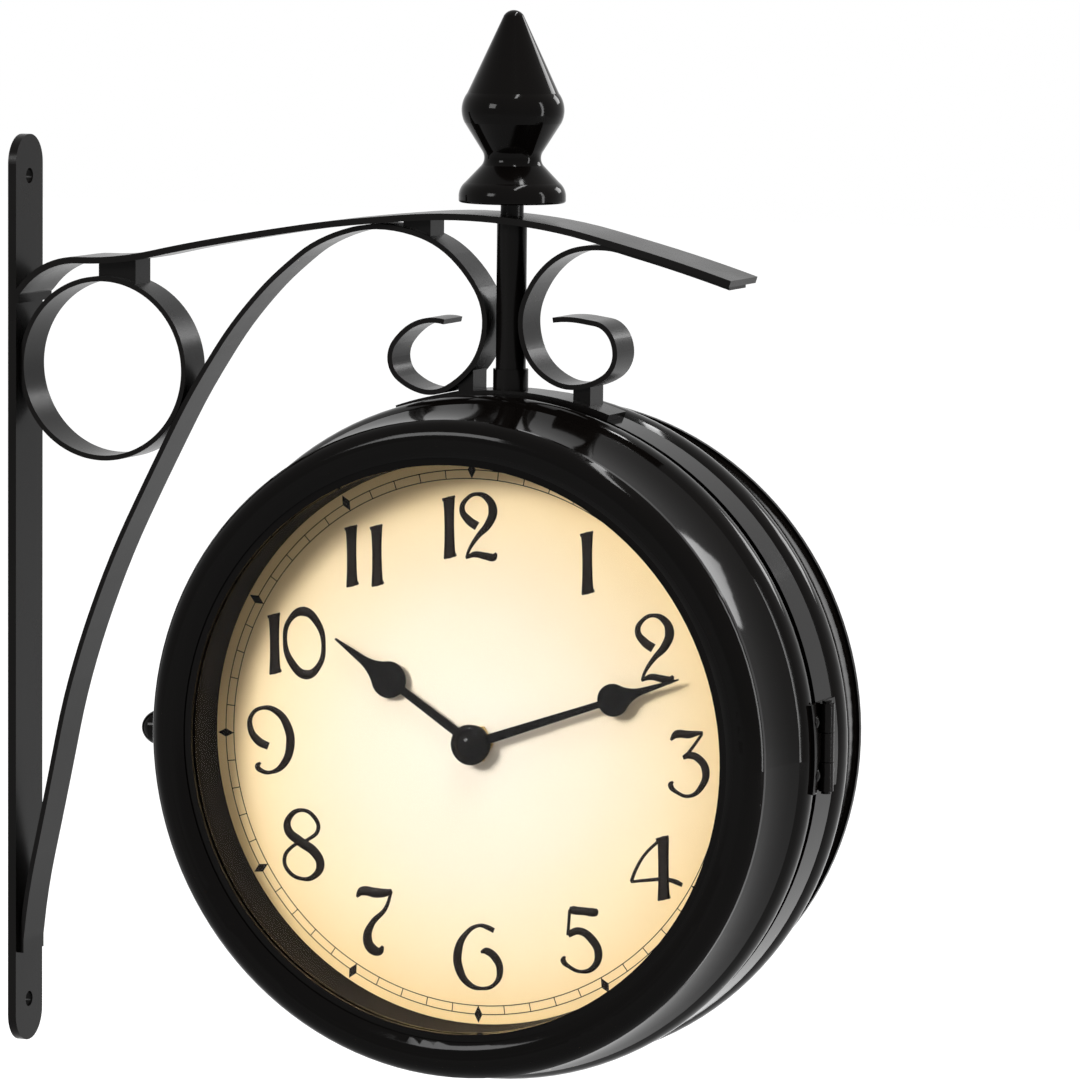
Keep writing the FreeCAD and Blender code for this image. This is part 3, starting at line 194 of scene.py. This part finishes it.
black_plastic = finish("moulded_black", (0.018, 0.018, 0.019), (0.030, 0.030, 0.032), grain=2200,
                       height=0.5, rough=(0.45, 0.6))
gear_plastic = finish("moulded_white", (0.72, 0.70, 0.64), (0.82, 0.80, 0.75), grain=2200,
                      height=0.3, rough=(0.35, 0.5))
board = finish("circuit_board", (0.02, 0.12, 0.05), (0.03, 0.20, 0.09), grain=2000, height=0.4,
               rough=(0.3, 0.45))
rubber = finish("soft_rubber", (0.012, 0.012, 0.012), (0.025, 0.025, 0.025), grain=2600,
                height=0.6, rough=(0.6, 0.8))
print("finishes:", len(bpy.data.materials))

# %% [markdown]
# The dial is enamelled paper under glass: cream in the middle and warmer
# towards its edge.  The colour depends on the distance from the dial's own
# middle, which a Mapping node moves to zero.

# %% Cream dial


def ramp(tree, stops):
    """A colour ramp from (place, colour) pairs."""
    node = tree.nodes.new("ShaderNodeValToRGB")
    band = node.color_ramp
    while len(band.elements) > 1:
        band.elements.remove(band.elements[-1])
    band.elements[0].position = stops[0][0]
    band.elements[0].color = (*stops[0][1], 1)
    for place, colour in stops[1:]:
        band.elements.new(place).color = (*colour, 1)
    return node


def make_dial_finish():
    material, tree, shader = new_material("dial_cream")
    shader.inputs["Specular IOR Level"].default_value = 0.3
    place = tree.nodes.new("ShaderNodeTexCoord")
    centre = tree.nodes.new("ShaderNodeMapping")
    centre.inputs["Location"].default_value = (-DIAL_CENTRE.x, 0, -DIAL_CENTRE.z)
    centre.inputs["Scale"].default_value = (1, 0, 1)
    length = tree.nodes.new("ShaderNodeVectorMath")
    length.operation = "LENGTH"
    blotch = add_node(tree, "ShaderNodeTexNoise", Scale=28.0, Detail=5.0)
    sway = tree.nodes.new("ShaderNodeMath")
    sway.operation = "MULTIPLY_ADD"
    sway.inputs[1].default_value = 0.012
    spread = tree.nodes.new("ShaderNodeMapRange")
    spread.inputs["From Min"].default_value = 0.006
    spread.inputs["From Max"].default_value = 0.105
    tones = ramp(tree, [(0.0, (0.98, 0.88, 0.73)), (0.45, (0.97, 0.83, 0.62)),
                        (0.75, (0.97, 0.77, 0.47)), (1.0, (0.93, 0.66, 0.30))])
    skin = place_skin(tree, 3000.0, 0.15, 60.0, (0.45, 0.6))
    link = tree.links.new
    link(place.outputs["Object"], centre.inputs["Vector"])
    link(centre.outputs["Vector"], length.inputs[0])
    link(place.outputs["Object"], blotch.inputs["Vector"])
    link(blotch.outputs["Fac"], sway.inputs[0])
    link(length.outputs["Value"], sway.inputs[2])
    link(sway.outputs["Value"], spread.inputs["Value"])
    link(spread.outputs["Result"], tones.inputs["Fac"])
    link(tones.outputs["Color"], shader.inputs["Base Color"])
    link(skin.outputs["Roughness"], shader.inputs["Roughness"])
    link(skin.outputs["Normal"], shader.inputs["Normal"])
    return material


dial_cream = make_dial_finish()
print_ink = finish("print_ink", (0.006, 0.0035, 0.0022), (0.011, 0.0070, 0.0048), grain=3000,
                   height=0.2, rough=(0.45, 0.6), specular=0.1)

# %% [markdown]
# The lens is plain glass.  It lets the studio light through to the dial, so
# shadow rays pass it: a Light Path node swaps the glass for clear there.

# %% Lens glass


def make_lens_glass():
    material, tree, shader = new_material("lens_glass")
    shader.inputs["Base Color"].default_value = (1, 1, 1, 1)
    shader.inputs["Roughness"].default_value = 0.0
    shader.inputs["IOR"].default_value = 1.12
    shader.inputs["Transmission Weight"].default_value = 1.0
    clear = tree.nodes.new("ShaderNodeBsdfTransparent")
    path = tree.nodes.new("ShaderNodeLightPath")
    either = tree.nodes.new("ShaderNodeMixShader")
    out = tree.nodes["Material Output"]
    tree.links.new(path.outputs["Is Shadow Ray"], either.inputs["Fac"])
    tree.links.new(shader.outputs["BSDF"], either.inputs[1])
    tree.links.new(clear.outputs["BSDF"], either.inputs[2])
    tree.links.new(either.outputs["Shader"], out.inputs["Surface"])
    return material


lens_glass = make_lens_glass()

# %% [markdown]
# Each CAD piece takes one finish.  Both faces of the clock are alike, so the
# names in the table have no front or rear in them.

# %% Paint the CAD pieces
FINISH_OF = {
    enamel: "front_shell rear_shell centre_band bezel finial latch_knob",
    iron: ("wall_plate top_arm strut_scroll arm_scroll ring scroll_spacers saddle_strap post_tube "
           "hinge_fixed_leaf hinge_moving_leaf hinge_pin fixed_leaf_rivets moving_leaf_rivets "
           "tie_rod neck_nut"),
    ring_matt: "dial_ring",
    hand_gloss: "minute_hand hour_hand hand_nut",
    zinc: "hanging_nut latch_bush latch_hook latch_keeper battery_contacts",
    brass: "minute_arbor bush_nut",
    black_plastic: "movement_housing movement_cover battery",
    gear_plastic: "hour_wheel motion_wheel setting_knob",
    board: "drive_board",
    rubber: "rubber_washer",
    dial_cream: "dial",
    lens_glass: "lens",
}
painted = 0
for material, names in FINISH_OF.items():
    for short in names.split():
        for name in (short, "front_" + short, "rear_" + short):
            if name in nodes:
                mesh = nodes[name].data
                mesh.materials.clear()
                mesh.materials.append(material)
                painted += 1
assert painted == len(nodes), (painted, len(nodes))
print("painted:", painted)

# %% [markdown]
# The numerals are pen letters: each stroke swells where the nib runs along it
# and thins where the nib turns.  A curve with its own radius at every point
# does the same.  Each figure below is a list of strokes in a box one unit
# high, and each point gives x, height and half the stroke's width.

# %% Pen strokes of the figures
SPURS = [[(-0.10, 0.87, 0.010), (0.0, 0.885, 0.030), (0.09, 0.93, 0.006)],
         [(-0.085, 0.005, 0.006), (0.0, 0.045, 0.030), (0.10, 0.070, 0.010)]]
STEM = [(0.0, 0.03, 0.074), (0.0, 0.25, 0.062), (0.0, 0.5, 0.058), (0.0, 0.70, 0.062),
        (0.0, 0.90, 0.074)]
FIGURES = {
    "1": [STEM] + SPURS,
    "2": [[(-0.03, 0.50, 0.060), (-0.15, 0.585, 0.056), (-0.245, 0.74, 0.036),
           (-0.17, 0.905, 0.020), (-0.02, 0.975, 0.018), (0.135, 0.905, 0.046),
           (0.20, 0.745, 0.064), (0.135, 0.54, 0.052), (-0.02, 0.355, 0.028),
           (-0.15, 0.15, 0.014), (-0.19, 0.03, 0.012)],
          [(-0.20, 0.025, 0.006), (-0.07, 0.085, 0.036), (0.085, 0.065, 0.046),
           (0.20, 0.055, 0.052), (0.245, 0.115, 0.008)]],
    "3": [[(-0.265, 0.84, 0.008), (-0.18, 0.93, 0.052), (0.0, 0.935, 0.050),
           (0.10, 0.955, 0.030), (0.20, 0.975, 0.008)],
          [(0.19, 0.955, 0.012), (0.06, 0.76, 0.013), (-0.065, 0.585, 0.018)],
          [(-0.09, 0.585, 0.020), (0.0, 0.625, 0.044), (0.13, 0.585, 0.050),
           (0.235, 0.41, 0.054), (0.17, 0.16, 0.036), (0.0, 0.018, 0.016),
           (-0.18, 0.065, 0.018), (-0.27, 0.17, 0.036), (-0.235, 0.225, 0.006)]],
    "4": [[(0.11, 0.03, 0.078), (0.11, 0.25, 0.068), (0.11, 0.5, 0.066), (0.11, 0.75, 0.068),
           (0.11, 0.965, 0.074)],
          [(0.02, 0.005, 0.006), (0.11, 0.045, 0.026), (0.21, 0.07, 0.008)],
          [(0.0, 0.93, 0.008), (0.11, 0.955, 0.026), (0.19, 0.995, 0.006)],
          [(0.06, 0.93, 0.014), (-0.16, 0.70, 0.014), (-0.30, 0.455, 0.016),
           (-0.37, 0.265, 0.018)],
          [(-0.375, 0.265, 0.012), (-0.12, 0.305, 0.016), (0.15, 0.33, 0.020),
           (0.30, 0.295, 0.030), (0.385, 0.255, 0.022)]],
    "5": [[(-0.17, 0.955, 0.020), (-0.12, 0.935, 0.056), (0.05, 0.925, 0.050),
           (0.20, 0.925, 0.060), (0.235, 0.965, 0.010)],
          [(-0.165, 0.93, 0.016), (-0.18, 0.74, 0.013), (-0.195, 0.55, 0.016)],
          [(-0.19, 0.565, 0.040), (-0.03, 0.625, 0.048), (0.16, 0.50, 0.058),
           (0.245, 0.305, 0.056), (0.175, 0.095, 0.036), (0.0, 0.018, 0.016),
           (-0.185, 0.085, 0.020), (-0.265, 0.17, 0.038), (-0.24, 0.235, 0.006)]],
    "6": [[(0.245, 0.90, 0.030), (0.15, 0.945, 0.030), (0.02, 0.965, 0.016),
           (-0.17, 0.83, 0.030), (-0.29, 0.56, 0.060), (-0.275, 0.29, 0.062),
           (-0.14, 0.075, 0.040), (0.055, 0.015, 0.016), (0.25, 0.095, 0.022),
           (0.325, 0.305, 0.046), (0.265, 0.485, 0.056), (0.13, 0.585, 0.048),
           (0.045, 0.565, 0.008)]],
    "7": [[(-0.245, 0.83, 0.008), (-0.17, 0.915, 0.058), (0.03, 0.905, 0.066),
           (0.17, 0.915, 0.050), (0.255, 0.955, 0.010)],
          [(0.25, 0.94, 0.012), (0.16, 0.68, 0.020), (-0.03, 0.46, 0.036),
           (-0.10, 0.24, 0.064), (-0.04, 0.095, 0.072), (0.07, 0.065, 0.052),
           (0.12, 0.14, 0.008)]],
    "8": [[(0.0, 0.985, 0.016), (-0.18, 0.87, 0.034), (-0.20, 0.70, 0.056),
           (-0.04, 0.545, 0.062), (0.17, 0.395, 0.062), (0.245, 0.22, 0.056),
           (0.15, 0.055, 0.032), (0.0, 0.012, 0.016), (-0.20, 0.11, 0.020),
           (-0.255, 0.29, 0.020), (-0.14, 0.465, 0.015), (0.08, 0.575, 0.015),
           (0.22, 0.72, 0.020), (0.18, 0.88, 0.022), (0.0, 0.985, 0.016)]],
    "9": [[(-0.02, 0.40, 0.048), (-0.17, 0.475, 0.056), (-0.28, 0.65, 0.040),
           (-0.26, 0.85, 0.022), (-0.10, 0.965, 0.018), (0.115, 0.915, 0.042),
           (0.265, 0.70, 0.060), (0.30, 0.44, 0.062), (0.20, 0.15, 0.046),
           (0.015, 0.018, 0.016), (-0.13, 0.035, 0.026), (-0.185, 0.095, 0.036),
           (-0.14, 0.155, 0.006)]],
    "0": [[(0.0, 0.955, 0.062), (0.19, 0.80, 0.046), (0.275, 0.48, 0.024),
           (0.20, 0.17, 0.034), (0.02, 0.04, 0.062), (-0.18, 0.20, 0.050),
           (-0.275, 0.52, 0.024), (-0.20, 0.83, 0.030), (0.0, 0.955, 0.062)]],
}
PEN_WEIGHT = 1.10
PEN_FLOOR = 0.013
WIDEN = 1.1
INK_HALF = 0.05
INK_FLAT = 0.02
DIAL_FACE = 28.8
PRINT_TURN = 1.26

# %% [markdown]
# Each row below is one figure on the dial: which one, where the middle of its
# foot stands, and how tall it is, all in millimetres.

# %% Where the figures stand
PRINTED = [
    ("1", -8.6, 63.3, 23.2),
    ("2", 2.5, 63.1, 23.3),
    ("1", 42.1, 52.5, 23.2),
    ("2", 66.6, 23.2, 23.6),
    ("3", 78.5, -15.3, 22.9),
    ("4", 66.1, -51.2, 22.4),
    ("5", 38.5, -77.6, 23.1),
    ("6", 0.0, -85.4, 23.0),
    ("7", -38.7, -75.6, 24.2),
    ("8", -65.5, -50.5, 24.8),
    ("9", -77.4, -13.7, 23.7),
    ("1", -75.0, 21.0, 23.0),
    ("0", -63.7, 20.4, 24.1),
    ("1", -45.3, 52.4, 23.0),
    ("1", -35.8, 52.9, 23.0),
]


def pen_stroke(points, x, z, size):
    """One stroke as a curve that swells and thins."""
    curve = bpy.data.curves.new("stroke", "CURVE")
    curve.dimensions = "3D"
    curve.bevel_depth = MM
    curve.bevel_resolution = 1
    curve.use_fill_caps = True
    closed = points[0] == points[-1]
    used = points[:-1] if closed else points
    spline = curve.splines.new("BEZIER")
    spline.bezier_points.add(len(used) - 1)
    spline.use_cyclic_u = closed
    spline.resolution_u = 6
    for knot, (px, pz, half) in zip(spline.bezier_points, used):
        knot.co = (x + px * size * WIDEN, 0, z + pz * size)
        knot.radius = (half * PEN_WEIGHT + PEN_FLOOR) * size
        knot.handle_left_type = knot.handle_right_type = "AUTO"
    return curve


def strokes_to_mesh(curves, name):
    """Join curves to one flat mesh in the plane of the dial, in millimetres."""
    shape = bmesh.new()
    for curve in curves:
        for spline in curve.splines:
            for knot in spline.bezier_points:
                knot.co *= MM
        holder = bpy.data.objects.new("stroke", curve)
        bpy.context.scene.collection.objects.link(holder)
        bpy.context.view_layer.update()
        ready = holder.evaluated_get(bpy.context.evaluated_depsgraph_get())
        mesh = bpy.data.meshes.new_from_object(ready)
        shape.from_mesh(mesh)
        bpy.data.meshes.remove(mesh)
        bpy.data.objects.remove(holder)
        bpy.data.curves.remove(curve)
    print(name, "faces:", len(shape.faces))
    return shape


def figure_curves():
    """All strokes of all twelve numbers, in millimetres on the dial."""
    return [pen_stroke(stroke, x, z, tall)
            for figure, x, z, tall in PRINTED for stroke in FIGURES[figure]]


# %% [markdown]
# Round the edge runs the minute track: two thin circles, a short line for
# every minute between them, and a small diamond at every hour on the outer
# circle.  A spun edge makes each circle, and the rest are single quads.

# %% Minute track
TRACK_OUTER = 94.1
TRACK_INNER = 91.1
TRACK_STEPS = 180
LINE_HALF = 0.16
DIAMOND_TALL = 3.0
DIAMOND_WIDE = 1.5


def add_circle(shape, radius):
    """A thin flat ring, spun from one short edge."""
    a = shape.verts.new(((radius - LINE_HALF) * MM, 0, 0))
    b = shape.verts.new(((radius + LINE_HALF) * MM, 0, 0))
    edge = shape.edges.new((a, b))
    bmesh.ops.spin(shape, geom=[a, b, edge], cent=(0, 0, 0), axis=(0, 1, 0),
                   angle=math.tau, steps=TRACK_STEPS, use_merge=True)


def add_mark(shape, half_wide, half_tall, radius, degrees, diamond=False):
    """A flat bar or diamond on the track, its length pointing at the middle."""
    place = (Matrix.Rotation(math.radians(degrees), 4, "Y")
             @ Matrix.Translation((0, 0, radius * MM))
             @ Matrix.Diagonal((half_wide * MM, 1, half_tall * MM, 1))
             @ Matrix.Rotation(math.radians(90), 4, "X"))
    if diamond:
        bmesh.ops.create_circle(shape, cap_ends=True, radius=1, segments=4, matrix=place)
    else:
        bmesh.ops.create_grid(shape, x_segments=1, y_segments=1, size=1, matrix=place)


def thicken(shape, height):
    """Give flat marks a little body."""
    bmesh.ops.recalc_face_normals(shape, faces=shape.faces)
    grown = bmesh.ops.extrude_face_region(shape, geom=shape.faces[:])
    moved = [v for v in grown["geom"] if isinstance(v, bmesh.types.BMVert)]
    bmesh.ops.translate(shape, verts=moved, vec=(0, -height * MM, 0))
    bmesh.ops.recalc_face_normals(shape, faces=shape.faces)


def make_track():
    shape = bmesh.new()
    add_circle(shape, TRACK_OUTER)
    add_circle(shape, TRACK_INNER)
    middle = (TRACK_OUTER + TRACK_INNER) / 2
    for minute in range(60):
        add_mark(shape, LINE_HALF, (TRACK_OUTER - TRACK_INNER) / 2, middle, 6 * minute)
    for hour in range(12):
        add_mark(shape, DIAMOND_WIDE, DIAMOND_TALL, TRACK_OUTER, 30 * hour, diamond=True)
    thicken(shape, INK_HALF)
    return shape


# %% [markdown]
# The print is made once, at the origin, and copied to both dials.  The real
# print sits a little askew, so the copy is turned by the same small angle, and
# the rear copy also by half a turn.  The front print rides the front half, so
# that it swings open with it.

# %% Place the print on both dials


def place_print(shape, side, name, material, body):
    """Put a print made at the origin on the front or the rear dial."""
    copy = shape.copy()
    turned = Matrix.Rotation(math.radians(-PRINT_TURN), 4, "Y")
    move = Matrix.Translation(DIAL_CENTRE + Vector((0, -DIAL_FACE * MM, 0))) @ turned
    if side == "rear":
        half_turn = Matrix.Rotation(math.pi, 4, "Z")
        move = (Matrix.Translation(DIAL_CENTRE + Vector((0, DIAL_FACE * MM, 0))) @ half_turn
                @ turned)
    bmesh.ops.transform(copy, matrix=move, verts=copy.verts)
    mesh = bpy.data.meshes.new(name)
    copy.to_mesh(mesh)
    copy.free()
    mesh.materials.append(material)
    piece = bpy.data.objects.new(name, mesh)
    bpy.context.scene.collection.objects.link(piece)
    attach(piece, body)
    return piece


figures = strokes_to_mesh(figure_curves(), "figures")
flatten = Matrix.Diagonal((1, INK_FLAT, 1, 1))
bmesh.ops.transform(figures, matrix=flatten, verts=figures.verts)
track = make_track()
DIAL_BODY = {"front": "front_half", "rear": "bracket_and_rear_half"}
for side, body in DIAL_BODY.items():
    place_print(figures, side, side + "_figures", print_ink, body)
    place_print(track, side, side + "_minute_track", print_ink, body)
figures.free()
track.free()

# %% [markdown]
# The studio is a white floor and a white surround.  The surround is seen by
# the camera, in reflections and through the glass, and it lights the clock only
# a little: a ray that has already left a matt surface finds a dim surround.
# The light comes from soft area lamps, as on a product table.

# %% Studio
FLOOR_DROP = 0.235
FLOOR_HALF = 6
FLOOR_TONE = 0.22
FLOOR_GLOW = 0.95
SURROUND_LIGHT = 0.05


def math_node(tree, operation, first, second):
    """One Math node fed by two sockets or numbers."""
    node = tree.nodes.new("ShaderNodeMath")
    node.operation = operation
    for slot, value in zip(node.inputs, (first, second)):
        if isinstance(value, float):
            slot.default_value = value
        else:
            tree.links.new(value, slot)
    return node.outputs["Value"]


def seen_white(tree):
    """One where the white shows: to the camera, in shine and through glass."""
    path = tree.nodes.new("ShaderNodeLightPath")
    shown = math_node(tree, "MAXIMUM", path.outputs["Is Camera Ray"], path.outputs["Is Glossy Ray"])
    shown = math_node(tree, "MAXIMUM", shown, path.outputs["Is Transmission Ray"])
    straight = math_node(tree, "LESS_THAN", path.outputs["Diffuse Depth"], 0.5)
    return math_node(tree, "MULTIPLY", shown, straight)


def blend_shaders(tree, factor, first, second):
    node = tree.nodes.new("ShaderNodeMixShader")
    tree.links.new(factor, node.inputs["Fac"])
    tree.links.new(first, node.inputs[1])
    tree.links.new(second, node.inputs[2])
    return node.outputs["Shader"]


world = bpy.data.worlds.new("studio")
bpy.context.scene.world = world
world.use_nodes = True
world_tree = world.node_tree
lit = world_tree.nodes["Background"]
lit.inputs["Color"].default_value = (1, 1, 1, 1)
lit.inputs["Strength"].default_value = SURROUND_LIGHT
seen = world_tree.nodes.new("ShaderNodeBackground")
seen.inputs["Color"].default_value = (1, 1, 1, 1)
seen.inputs["Strength"].default_value = 1.0
mixed = blend_shaders(world_tree, seen_white(world_tree), lit.outputs["Background"],
                      seen.outputs["Background"])
world_tree.links.new(mixed, world_tree.nodes["World Output"].inputs["Surface"])


def white_floor():
    shape = bmesh.new()
    bmesh.ops.create_grid(shape, x_segments=1, y_segments=1, size=FLOOR_HALF)
    bmesh.ops.translate(shape, verts=shape.verts, vec=(0, 0, -FLOOR_DROP))
    mesh = bpy.data.meshes.new("floor")
    shape.to_mesh(mesh)
    shape.free()
    material, tree, shader = new_material("floor_white")
    shader.inputs["Base Color"].default_value = (FLOOR_TONE, FLOOR_TONE, FLOOR_TONE, 1)
    shader.inputs["Roughness"].default_value = 0.9
    glow = tree.nodes.new("ShaderNodeEmission")
    glow.inputs["Strength"].default_value = FLOOR_GLOW
    both = tree.nodes.new("ShaderNodeAddShader")
    tree.links.new(shader.outputs["BSDF"], both.inputs[0])
    tree.links.new(glow.outputs["Emission"], both.inputs[1])
    blend = blend_shaders(tree, seen_white(tree), shader.outputs["BSDF"], both.outputs["Shader"])
    tree.links.new(blend, tree.nodes["Material Output"].inputs["Surface"])
    mesh.materials.append(material)
    floor = bpy.data.objects.new("floor", mesh)
    bpy.context.scene.collection.objects.link(floor)


white_floor()


# %% [markdown]
# Gloss black shows its shape only through what it mirrors.  A square soft box
# at the upper left lights the dials and casts the shadow of the hands, two long
# narrow boxes draw the bright lines on the roll, and two more reach the lower
# edge and the rear face.  Each row gives a name, a place, a width, a height in
# millimetres, and a power in watts.

# %% Lamps
LAMPS = [
    ("key", (-880, -1800, 880), 560, 560, 23),
    ("right strip", (1500, 60, 250), 140, 1500, 18),
    ("top strip", (300, 60, 1500), 1800, 110, 30),
    ("low left", (-1300, -1500, -700), 240, 240, 2.5),
    ("back key", (900, 1800, 880), 560, 560, 11),
]


def soft_lamp(name, at, wide, tall, power):
    """A rectangular soft box aimed at the middle of the clock."""
    data = bpy.data.lights.new(name, "AREA")
    data.energy = power
    data.shape = "RECTANGLE"
    data.size = wide * MM
    data.size_y = tall * MM
    lamp = bpy.data.objects.new(name, data)
    bpy.context.scene.collection.objects.link(lamp)
    lamp.location = on_clock(*at)
    aim = DIAL_CENTRE - lamp.location
    lamp.rotation_euler = aim.to_track_quat("-Z", "Y").to_euler()


for row in LAMPS:
    soft_lamp(*row)
print("lamps:", len(LAMPS))
